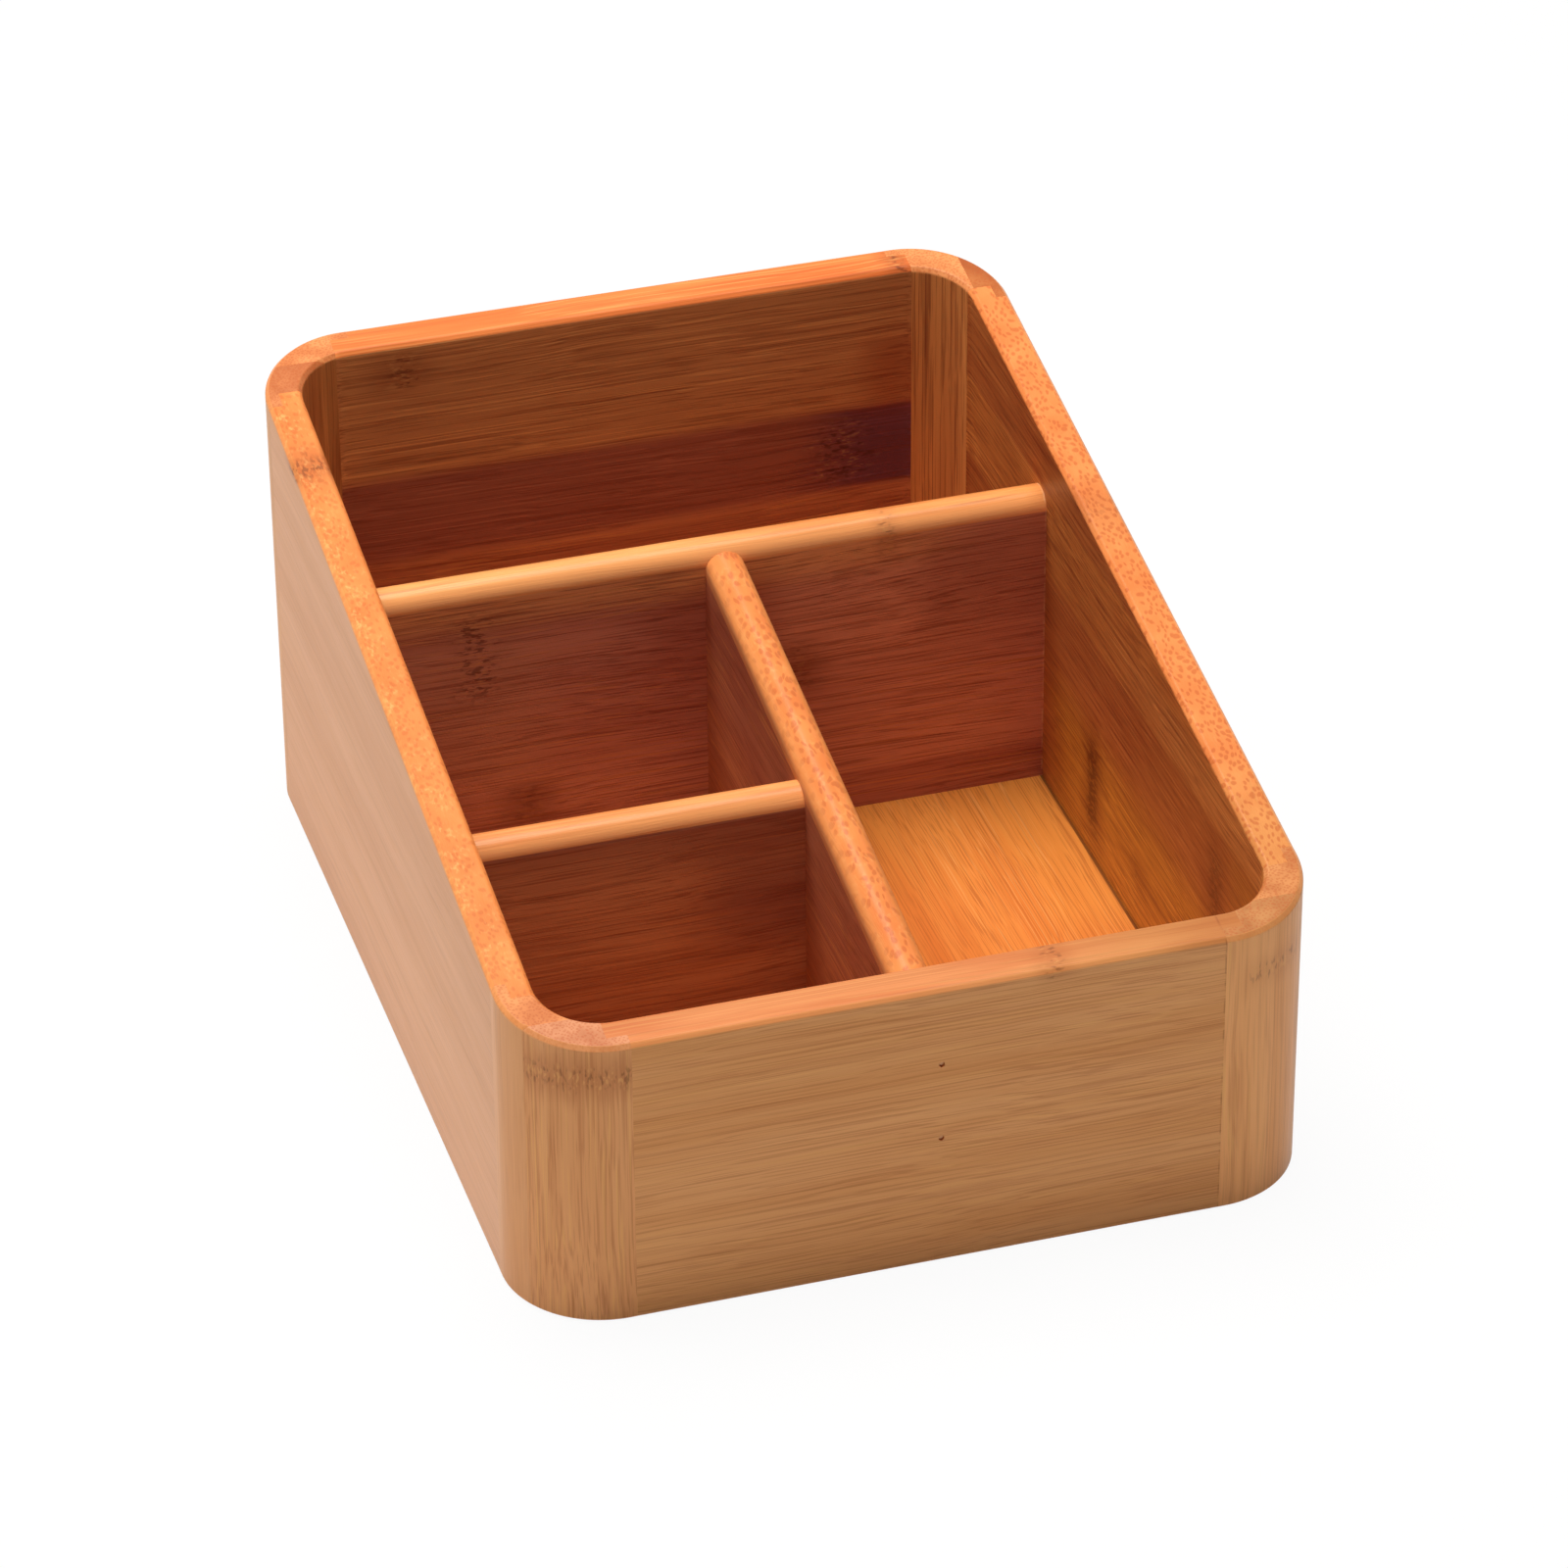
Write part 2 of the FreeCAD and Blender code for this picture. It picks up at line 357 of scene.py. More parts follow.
def grain_streaks():
    """Bands, brown streaks, fine lines, pale hairlines and fibres along X, in millimetres."""

    def fill(graph, entry):
        place = entry["Place"]
        along, across, through = graph.split(place)
        slow = graph.math("SUBTRACT", graph.waves(place, SLOW_SWAY), 0.5)
        quick = graph.math("SUBTRACT", graph.waves(place, QUICK_SWAY), 0.5)
        sway = graph.math("MULTIPLY_ADD", quick, QUICK_REACH, graph.times(slow, entry["Sway"]))
        bent = graph.join(along, graph.math("ADD", across, sway), graph.math("ADD", through, sway))
        long = graph.math("DIVIDE", 1.0, entry["Length"])
        wide = graph.math("DIVIDE", 1.0, entry["Width"])
        streak = graph.vector("MULTIPLY", bent, graph.join(long, wide, wide))
        hairlines = graph.times(graph.waves(streak, HAIRLINES), graph.waves(bent, HAIRLINE_PATCHES))
        return (
            graph.waves(bent, BANDS), graph.waves(streak, STREAKS), graph.waves(streak, LINES),
            hairlines, graph.waves(bent, FIBRES),
        )

    inputs = {"Place": "Vector", "Sway": "Float", "Length": "Float", "Width": "Float"}
    outputs = ["Band", "Streaks", "Lines", "Hairlines", "Fibres"]
    return shader_group("grain_streaks", inputs, outputs, fill)


def glued_strips():
    """A random tone for each strip of an edge-glued board, and the thin joints between them."""

    def fill(graph, entry):
        shifted = graph.math("ADD", entry["Across"], entry["Shift"])
        position = graph.math("DIVIDE", shifted, entry["Strip"])
        number = graph.math("FLOOR", position)
        tone = graph.add("ShaderNodeTexWhiteNoise", {"noise_dimensions": "1D"}, W=number).outputs["Value"]
        share = graph.math("FRACT", position)
        from_edge = graph.math("MINIMUM", share, graph.math("SUBTRACT", 1.0, share))
        gap = graph.times(from_edge, entry["Strip"])
        return tone, graph.step(gap, *STRIP_JOINT)

    inputs = {"Across": "Float", "Shift": "Float", "Strip": "Float"}
    return shader_group("glued_strips", inputs, ["Tone", "Joint"], fill)


def culm_ring():
    """A ring of the culm: dark and pale flecks in a ragged row, and the stain round it."""

    def fill(graph, entry):
        place = entry["Place"]
        away = graph.vector("DIVIDE", graph.vector("SUBTRACT", place, entry["Centre"]), entry["Reach"])
        along, across, _ = graph.split(away)
        jag = graph.math("SUBTRACT", graph.waves(place, RING_JAGS), 0.5)
        along = graph.math("ABSOLUTE", graph.math("ADD", along, graph.times(jag, RING_RAGS)))
        across = graph.math("ABSOLUTE", across)
        patch = graph.times(graph.step(along, *FLECKS_ALONG), graph.step(across, *FLECKS_ACROSS))
        flecks = graph.math("ADD", graph.waves(place, RING_FLECKS), entry["Density"])
        dark = graph.times(patch, graph.step(flecks, *DARK_FLECKS))
        pale = graph.times(patch, graph.step(flecks, *PALE_FLECKS))
        stain = graph.times(graph.step(along, *STAIN_ALONG), graph.step(across, *STAIN_ACROSS))
        return dark, pale, stain

    inputs = {"Place": "Vector", "Centre": "Vector", "Reach": "Vector", "Density": "Float"}
    return shader_group("culm_ring", inputs, ["Dark", "Pale", "Stain"], fill)


def cut_pores():
    """Ends of the fibre bundles on a cut edge: staggered dark dots, and soft pale flecks between them."""

    def fill(graph, entry):
        x, y, _ = graph.split(entry["Place"])
        bend = graph.waves(entry["Place"], PORE_BENDS)
        x = graph.math("ADD", graph.math("DIVIDE", x, entry["Width"]), graph.times(bend, PORE_BEND))
        y = graph.math("DIVIDE", y, entry["Length"])
        diagonal = math.sqrt(0.5)
        first = graph.times(graph.math("ADD", x, y), diagonal)
        second = graph.times(graph.math("SUBTRACT", x, y), diagonal)
        spread = graph.join(first, second, 0.0)
        settings = {"voronoi_dimensions": "2D", "feature": "F1"}
        cells = graph.add(
            "ShaderNodeTexVoronoi", settings, Vector=spread, Scale=1.0, Randomness=PORE_DISORDER
        )
        chance = graph.split(cells.outputs["Color"])[0]
        present = graph.math("LESS_THAN", chance, entry["Share"])
        size = graph.math("MULTIPLY_ADD", chance, PORE_SPREAD, PORE_LEAST)
        over = graph.math("SUBTRACT", cells.outputs["Distance"], size)
        dots = graph.times(graph.step(over, *PORE_EDGE), present)
        return dots, graph.waves(entry["Place"], PORE_FLECKS)

    inputs = {"Place": "Vector", "Width": "Float", "Length": "Float", "Share": "Float"}
    return shader_group("cut_pores", inputs, ["Dots", "Flecks"], fill)


# Boards


class Ring(NamedTuple):
    """A ring of the culm in a board: its place along and across the grain, its reach and its strength.

    Density adds dark flecks. An inner ring shows on the face inside the bins alone.
    """

    along: float
    across: float
    reach_along: float
    reach_across: float
    dark: float = 0.6
    pale: float = 0.25
    stain: float = 0.35
    density: float = 0.0
    inner: bool = False


class Strip(NamedTuple):
    """A strip with a tone of its own, between a low and a high place across the grain.

    It may start part of the way along the grain with a ragged fade, or end there if the fade is negative.
    An upper strip shows on the board's upper side, and the others on its faces inside the bins.
    """

    low: float
    high: float
    colour: tuple
    share: float
    soft: float = 0.4
    start: float = -1000.0
    fade: float = 6.0
    upper: bool = False


class Seam(NamedTuple):
    """A glue line, or painted shade in a crease, that shows at one place along X, here and there or
    whole.
    """

    place: float
    width: float
    colour: tuple
    share: float
    whole: bool = False


class Board(NamedTuple):
    """How one piece's bamboo lies and looks, in millimetres, shares and tints of the finish's colours.

    Grain names the axes along, across and through the board, and shift moves the grain's pattern.
    Inward points into the bins. It is empty where all faces look into them, and None where none do.
    Cut is what the upper side shows: long grain, the pores of cut fibre bundles, end grain or the floor.
    Pores and flecks have one share at the edge nearest the box's middle and one at the other edge.
    """

    node: str
    slot: str
    grain: str
    shift: tuple
    inward: tuple = None
    cut: str = "long"
    # Tints of the outer faces, of the painted shade on the faces inside the bins, and of the upper edge
    face_tint: tuple = (1, 1, 1)
    inner_tint: tuple = (1, 1, 1)
    cut_tint: tuple = (1, 1, 1)
    strip_width: float = 18.6
    strip_shift: float = 0.0
    strip_share: float = 0.2
    streaks: float = 0.3
    lines: float = 0.32
    hairlines: float = 0.5
    fineness: float = 1.0
    shortness: float = 1.0
    outer_grain: float = 1.0
    pores: tuple = (0.9, 0.9)
    flecks: tuple = (0.0, 0.0)
    pore_stretch: tuple = (1.0, 1.0)
    pore_strength: float = 0.5
    # Share of the edge colour on a divider's rounded top, and depth of the painted-light band under its
    # ridge
    edge: float = 0.0
    lit_band_depth: float = 0.0
    rim_shade: float = 0.0
    cool: float = 0.0
    coat: float = 0.08
    strips: tuple = ()
    rings: tuple = ()
    seams: tuple = ()


DRIED_GLUE = srgb(236, 196, 150)
RED_GLUE = srgb(136, 66, 34)
CREASE_SHADE = srgb(78, 34, 14)
OLIVE = srgb(224, 157, 92)
CHESTNUT = srgb(150, 82, 69)
MAROON = srgb(103, 56, 77)
RUSSET = srgb(165, 88, 38)
OCHRE = srgb(214, 150, 50)
PAINTED_FLOOR_LIGHT = srgb(246, 170, 76)
FAWN = srgb(182, 148, 82)
SAND = srgb(216, 138, 64)
AMBER = srgb(252, 184, 110)
ROSE = srgb(246, 178, 145)
RUST = srgb(166, 70, 38)
TAWNY = srgb(219, 170, 128)

PANELS = [
    Board(
        "front_panel", "bamboo_across", "XZY", (310, 0, 40), (0, 1, 0),
        cut_tint=(0.9, 1, 1.36), strip_share=0, streaks=0.26, hairlines=0.28, fineness=0.75,
        shortness=0.85, rim_shade=0.3,
        strips=(Strip(50, 70, FAWN, 0.34, start=30, fade=22, upper=True),),
        rings=(
            Ring(23.2, 60.6, 2.4, 3, dark=0.42, pale=0.2, stain=0.3),
            # This ring has no flecks: its stain only darkens the rim towards the panel's right end
            Ring(58, 60.3, 8, 1.6, dark=0, pale=0, stain=0.4),
        ),
        seams=(Seam(55.6, 0.2, RED_GLUE, 0.36),),
    ),
    Board(
        "back_panel", "bamboo_across", "XZY", (20, 0, 700), (0, -1, 0),
        cut_tint=(1, 0.86, 0.85), strip_shift=11.6, streaks=0.45, lines=0.42, hairlines=0.6,
        shortness=0.7,
        strips=(
            Strip(64, 97, OLIVE, 0.6, soft=1.4),
            Strip(45, 64, CHESTNUT, 0.7, soft=1.8),
            Strip(46, 63.4, MAROON, 0.78, soft=0.6, start=42, fade=9),
            Strip(63, 80, RUST, 0.5, soft=4, start=50, fade=5),
            Strip(64, 97, AMBER, 0.18, soft=1.4, start=-54, fade=-4),
        ),
        rings=(
            Ring(-46.2, 88, 4.2, 5, dark=0.5, pale=0.3, inner=True),
            Ring(45, 54.5, 8, 9, dark=0.65, pale=0.2, stain=0.1, density=0.02, inner=True),
            Ring(57, 95, 2.2, 2.5),
        ),
    ),
    Board(
        "left_side_panel", "bamboo_lengthwise", "YZX", (500, 0, 90), (1, 0, 0), cut="pores",
        # The bluer face tint paints the pale sheen on this left outer face
        face_tint=(1.01, 1.03, 1.2), strip_shift=4, strip_share=0.15, streaks=0.14, lines=0.1,
        hairlines=0.1, pores=(0.3, 1), flecks=(0.1, 0.75), pore_strength=0.36,
        rings=(Ring(63.5, 88.6, 4, 2, dark=0.5, pale=0.2, stain=0.5, density=0.05),),
    ),
    Board(
        "right_side_panel", "bamboo_lengthwise", "YZX", (930, 0, 160), (-1, 0, 0), cut="pores",
        inner_tint=(0.92, 0.85, 0.6), cut_tint=(1, 1.03, 1.15), strip_shift=14,
        streaks=0.65, lines=0.55, hairlines=0.6, fineness=0.8, shortness=0.35, outer_grain=0.25,
        pores=(0.6, 1), flecks=(0, 0.1), pore_stretch=(1, 1.05),
        strips=(
            Strip(73, 97, RUSSET, 0.25, soft=0.5),
            Strip(55.2, 73, SAND, 0.42),
            Strip(55.2, 66, AMBER, 0.18, soft=3, start=-20, fade=-25),
            Strip(25, 55.2, RUSSET, 0.4),
            Strip(-1, 34, OCHRE, 0.6, soft=8, start=30, fade=-10),
            Strip(8, 55.2, OCHRE, 0.3, soft=4, start=-70, fade=-8),
            Strip(50, 100, FAWN, 0.3, start=-66, fade=-14, upper=True),
        ),
        rings=(
            Ring(7, 23, 4, 12.5, dark=0.65, pale=0, stain=0.6, density=0.16, inner=True),
            Ring(-62, 42, 4.5, 11, dark=0.45, pale=0, stain=0.4, density=0.12, inner=True),
            Ring(-19.5, 19, 4, 4, dark=0.2, pale=0, stain=0.3, inner=True),
            Ring(16, 81, 6, 3, dark=0.15, pale=0, stain=0.28),
        ),
    ),
]
DIVIDERS = [
    Board(
        "cross_divider", "bamboo_across", "XZY", (1210, 0, 330), (),
        # The cream cut tint is partly painted highlight on the rounded top
        inner_tint=(1.07, 1.24, 2.1), cut_tint=(1, 1.2, 1.3), strip_shift=2,
        streaks=0.5, lines=0.48, hairlines=0.35, fineness=0.8, shortness=0.5, edge=0.8, lit_band_depth=3.8,
        cool=0.15, coat=0.3,
        strips=(
            Strip(42, 66, RUST, 0.35, soft=6, start=-12, fade=7),
            Strip(42, 72, ROSE, 0.48, soft=6, start=13, fade=5),
            Strip(42, 68, CHESTNUT, 0.45, soft=8, start=43),
            # This amber strip is partly the ochre line under the rounded top and partly painted light
            # lifting the shade there
            Strip(63, 90, AMBER, 0.55, soft=4, start=45, fade=-14),
            Strip(26, 62, TAWNY, 0.25, soft=8, start=-36, fade=-9),
            Strip(60, 90, AMBER, 0.55, soft=1, start=10, fade=-20, upper=True),
        ),
        rings=(
            Ring(-47.4, 56, 5.6, 12, pale=0.2, stain=0.1, density=0.03),
            Ring(17.6, 42, 4, 7, dark=0.4, pale=0.1, stain=0.5),
            Ring(36, 68.6, 1.8, 5, dark=0.45, pale=0.3, stain=0.2),
            Ring(-38, 21, 4, 5, dark=0.3, pale=0.1, stain=0.5),
        ),
        seams=(Seam(68.55, 0.15, DRIED_GLUE, 0.4),),
    ),
    Board(
        "long_divider", "bamboo_lengthwise", "YZX", (1520, 0, 260), (), cut="pores",
        inner_tint=(0.96, 1, 1.2), strip_shift=7, streaks=0.6, lines=0.45,
        hairlines=0.55, fineness=0.7, shortness=0.4, pores=(0.8, 0.8), flecks=(0.25, 0.25),
        pore_stretch=(1.15, 1.5), edge=0.5, lit_band_depth=5, cool=0.25, coat=0.2,
        strips=(Strip(-1, 32, RUSSET, 0.5, soft=12),),
    ),
    Board(
        "short_divider", "bamboo_across", "XZY", (1840, 0, 510), (),
        # The cream cut tint is partly painted highlight on the rounded top
        inner_tint=(0.93, 1.22, 1.6), cut_tint=(1, 1.2, 1.4), strip_shift=5,
        streaks=0.45, lines=0.42, hairlines=0.3, fineness=0.8, shortness=0.5, edge=0.8, lit_band_depth=3.2,
        cool=0.3, coat=0.3,
        strips=(
            Strip(26, 52, TAWNY, 0.45, soft=5, start=-26, fade=-14),
            Strip(25, 45, MAROON, 0.3, soft=5, start=-20, fade=8),
        ),
    ),
]
BOTTOM = Board(
    "bottom_panel", "bamboo_lengthwise", "YXZ", (2130, 0, 620), cut="floor",
    cut_tint=(0.85, 0.82, 0.64), strip_width=6.2, strip_shift=3, strip_share=0.25,
    lines=0.85, fineness=0.7,
    # The pale strips are painted light, lifting the floor's shade near the cross divider and along the
    # right wall
    strips=(
        Strip(-80, 80, PAINTED_FLOOR_LIGHT, 0.45, soft=1, start=22, fade=26, upper=True),
        Strip(54, 80, PAINTED_FLOOR_LIGHT, 0.3, soft=5, start=-16, fade=8, upper=True),
    ),
    # A dark line of painted shade in the crease where the floor meets the right wall
    seams=(Seam(68.6, 0.45, CREASE_SHADE, 0.8, whole=True),),
)


def upright(node, grain, shift, inward, **marks):
    """One upright strip of a corner post."""
    usual = {"inner_tint": (1.24, 1.46, 1.1), "streaks": 0.4, "shortness": 0.55}
    return Board(node, "bamboo_upright", grain, shift, inward, cut="end", **(usual | marks))


POSTS = [
    upright(
        "front_left_post_front_strip", "ZXY", (70, 210, 0), (1, 1, 0),
        face_tint=(1.04, 1.03, 1.1), cut_tint=(0.88, 0.98, 1.36),
        rings=(Ring(53.5, -64, 3.2, 14, dark=0.42, pale=0.4, stain=0.4),),
    ),
    upright(
        "front_left_post_side_strip", "ZYX", (160, 480, 0), (1, 1, 0),
        # The bluer face tint paints the pale sheen on the post's left outer face
        face_tint=(1.02, 1.04, 1.15), streaks=0.14, lines=0.12, hairlines=0.12,
    ),
    upright(
        "front_right_post_front_strip", "ZXY", (250, 760, 0), (-1, 1, 0),
        face_tint=(1.14, 1.15, 1.18), cut_tint=(0.72, 0.84, 0.86), streaks=0.3, lines=0.2,
        rings=(Ring(50.8, 66, 2.4, 7, dark=0.34, pale=0.3, stain=0.2),),
    ),
    upright(
        "front_right_post_side_strip", "ZYX", (340, 990, 0), (-1, 1, 0),
        inner_tint=(1.3, 1.8, 0.95), cut_tint=(0.85, 0.9, 0.9),
    ),
    upright(
        "back_left_post_back_strip", "ZXY", (430, 1270, 0), (1, -1, 0), inner_tint=(1.32, 1.8, 1.3)
    ),
    upright(
        "back_left_post_side_strip", "ZYX", (520, 1530, 0), (1, -1, 0), cut_tint=(0.82, 0.76, 0.76)
    ),
    upright(
        "back_right_post_side_strip", "ZYX", (610, 1790, 0), (-1, -1, 0),
        cut_tint=(0.66, 0.54, 0.42), streaks=0.6, lines=0.5, hairlines=0.8, shortness=1,
    ),
    upright(
        "back_right_post_back_strip", "ZXY", (700, 2050, 0), (-1, -1, 0),
        streaks=0.6, lines=0.5, hairlines=0.8, shortness=1,
    ),
]


def tinted(colour, tint):
    return tuple(part * share for part, share in zip(colour, tint))


# Sway of the grain and softness of a seam in millimetres, and shares of what is drawn on a board
GRAIN_SWAY = 5.0
SEAM_SOFTNESS = 0.1
HAIRLINE_ON_STRIP = (1.5, 1.7, 1.8)
JOINT_SHARE = 0.6
CUT_GRAIN = 0.6
END_PORE_SIZE = 0.6
END_PORE_STRENGTH = 0.4

# How far a face looks into the bins where the inner finish, painted shade, takes over, and the tones from
# pale to deep
TURNED_IN = (-0.05, 0.25)
TONE_EDGE = (0.25, 0.75)


class Surface:
    """The places and the grain on one board's surface, as sockets for its material."""

    def __init__(self, graph, board):
        sizes = bpy.context.scene.organizer_sizes
        source = graph.add("ShaderNodeTexCoord")
        self.graph = graph
        self.board = board
        self.normal = source.outputs["Normal"]
        self.place = graph.scaled(source.outputs["Object"], 1 / MM)
        self.axes = dict(zip("XYZ", graph.split(self.place)))
        self.grain = graph.join(*(self.axes[axis] for axis in board.grain))
        self.along, self.across = (self.axes[axis] for axis in board.grain[:2])
        self.shifted = graph.vector("ADD", self.grain, board.shift)
        # Inside marks the faces that look into the bins, which take the painted shade of the inner
        # colours
        self.inside = 0.0 if board.inward is None else 1.0
        if board.inward:
            self.inside = graph.step(graph.vector("DOT_PRODUCT", self.normal, board.inward), *TURNED_IN)
        self.streaks = graph.group(
            grain_streaks(), Place=self.shifted, Sway=GRAIN_SWAY,
            Length=board.shortness * sizes.streak_length / MM,
            Width=board.fineness * sizes.streak_width / MM,
        )

    def strips(self, upper):
        return [strip for strip in self.board.strips if strip.upper == upper]

    def shown(self, strip):
        """How much of a toned strip shows at each place."""
        graph = self.graph
        here = graph.between(self.across, strip.low, strip.high, strip.soft)
        ragged = graph.math("MULTIPLY_ADD", self.streaks["Streaks"], strip.fade, self.along)
        begun = graph.step(ragged, strip.start - strip.fade, strip.start + strip.fade)
        return graph.times(here, begun, strip.share)

    def lined(self, colour, streak, hairline, strength):
        """A colour with the grain's streaks, lines and hairlines drawn over it."""
        graph, board = self.graph, self.board
        layers = [("Streaks", board.streaks, streak), ("Lines", board.lines, streak),
                  ("Hairlines", board.hairlines, hairline)]
        for name, share, over in layers:
            colour = graph.mix(graph.times(self.streaks[name], strength, share), colour, over)
        return colour


def face_colour(surface):
    """Colour of a board's upright faces, paler outside than inside the bins, where darker copies of the
    colours paint the shade.
    """
    finish = bpy.context.scene.organizer_finish
    graph, board = surface.graph, surface.board
    strips = graph.group(
        glued_strips(), Across=surface.across, Shift=board.strip_shift + board.shift[0],
        Strip=board.strip_width,
    )
    hairline = graph.mix(surface.inside, finish.hairline, finish.shaded_inner_hairline)
    tone = graph.math("MULTIPLY_ADD", strips["Tone"], board.strip_share,
                      graph.times(surface.streaks["Band"], 1 - board.strip_share))
    tone = graph.step(tone, *TONE_EDGE)
    pale = tinted(finish.face_pale, board.face_tint)
    colour = graph.mix(tone, pale, tinted(finish.face_deep, board.face_tint))
    # Faces inside the bins take darker copies of the colours: painted shade
    if board.inward is not None:
        pale = tinted(finish.shaded_inner_pale, board.inner_tint)
        inside = graph.mix(tone, pale, tinted(finish.shaded_inner_deep, board.inner_tint))
        cool = graph.waves(surface.shifted, COOL_CLOUDS)
        inside = graph.mix(graph.times(cool, board.cool), inside, finish.shaded_inner_cool)
        for strip in surface.strips(upper=False):
            shown = surface.shown(strip)
            inside = graph.mix(shown, inside, strip.colour)
            hairline = graph.mix(shown, hairline, tinted(strip.colour, HAIRLINE_ON_STRIP))
        colour = graph.mix(surface.inside, colour, inside)
    joint = graph.times(strips["Joint"], board.strip_share * JOINT_SHARE)
    colour = graph.mix(joint, colour, finish.streak)
    streak = graph.mix(surface.inside, finish.streak, finish.shaded_inner_streak)
    strength = graph.ramp(surface.inside, 0.0, 1.0, board.outer_grain, 1.0)
    return surface.lined(colour, streak, hairline, strength)


def cut_colour(surface):
    """Colour of a board's upper edge: long grain, cut fibre bundles, or end grain."""
    finish = bpy.context.scene.organizer_finish
    sizes = bpy.context.scene.organizer_sizes
    graph, board = surface.graph, surface.board
    low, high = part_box(board.node)
    pale, deep = finish.cut_pale, finish.cut_deep
    if board.cut == "end":
        pale, deep = finish.end_pale, finish.end_deep
    clouds = graph.waves(surface.shifted, CUT_CLOUDS[board.cut])
    colour = graph.mix(clouds, tinted(pale, board.cut_tint), tinted(deep, board.cut_tint))
    if board.rim_shade:
        inner = graph.ramp(surface.axes["Y"], low.y / MM, high.y / MM, 0.0, board.rim_shade)
        colour = graph.mix(inner, colour, finish.streak)
    for strip in surface.strips(upper=True):
        colour = graph.mix(surface.shown(strip), colour, strip.colour)
    if board.cut in {"long", "floor"}:
        return surface.lined(colour, finish.streak, finish.hairline, CUT_GRAIN)

    inner, outer = sorted((low.x / MM, high.x / MM), key=abs)
    width, length, strength = sizes.pore_width / MM, sizes.pore_length / MM, board.pore_strength
    width, length = tinted((width, length), board.pore_stretch)
    if board.cut == "end":
        width = length = END_PORE_SIZE * width
        strength = END_PORE_STRENGTH
    share = graph.ramp(surface.axes["X"], inner, outer, *board.pores)
    flecks = graph.ramp(surface.axes["X"], inner, outer, *board.flecks)
    flecks = graph.times(flecks, graph.waves(surface.place, FLECK_PATCHES))
    pores = graph.group(cut_pores(), Place=surface.place, Width=width, Length=length, Share=share)
    colour = graph.mix(graph.times(pores["Flecks"], flecks), colour, finish.hairline)
    return graph.mix(graph.times(pores["Dots"], strength), colour, finish.pore)


def marked(surface, colour):
    """A colour with the board's rings and glue lines over it."""
    finish = bpy.context.scene.organizer_finish
    graph, board = surface.graph, surface.board
    stain = graph.mix(surface.inside, finish.streak, finish.shaded_inner_streak)
    for ring in board.rings:
        mark = graph.group(
            culm_ring(), Place=surface.grain, Centre=(ring.along, ring.across, 0.0),
            Reach=(ring.reach_along, ring.reach_across, 1.0), Density=ring.density,
        )
        side = surface.inside if ring.inner else 1.0
        layers = [("Stain", ring.stain, stain), ("Pale", ring.pale, finish.hairline),
                  ("Dark", ring.dark, finish.ring)]
        for name, share, over in layers:
            colour = graph.mix(graph.times(mark[name], side, share), colour, over)
    for seam in board.seams:
        low, high = seam.place - seam.width, seam.place + seam.width
        line = graph.between(surface.axes["X"], low, high, SEAM_SOFTNESS)
        if not seam.whole:
            line = graph.times(line, graph.waves(surface.place, SEAM_BREAKS))
        colour = graph.mix(graph.times(line, seam.share), colour, seam.colour)
    return colour


def rim_slope():
    """How steeply the rim falls from the back to the front."""
    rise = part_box("back_panel")[1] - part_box("front_panel")[1]
    return rise.z / rise.y


# How far upward a face looks where one finish gives way to the next, and the eased rim's painted
# highlight with its softness
INNER_RIM = (0.15, 0.45)
OUTER_RIM = (0.35, 0.6)
EASED_RIM_HIGHLIGHT = (0.5, 0.9, 0.06)
CROWN = (0.93, 0.6)

EASED_HIGHLIGHT_SHARE = 0.45
# Share of its depth where the painted-light band under a divider's ridge is full
LIT_BAND_FADE = 0.92
ROUGHNESS_SPREAD = 0.16
STREAK_RELIEF = -0.6


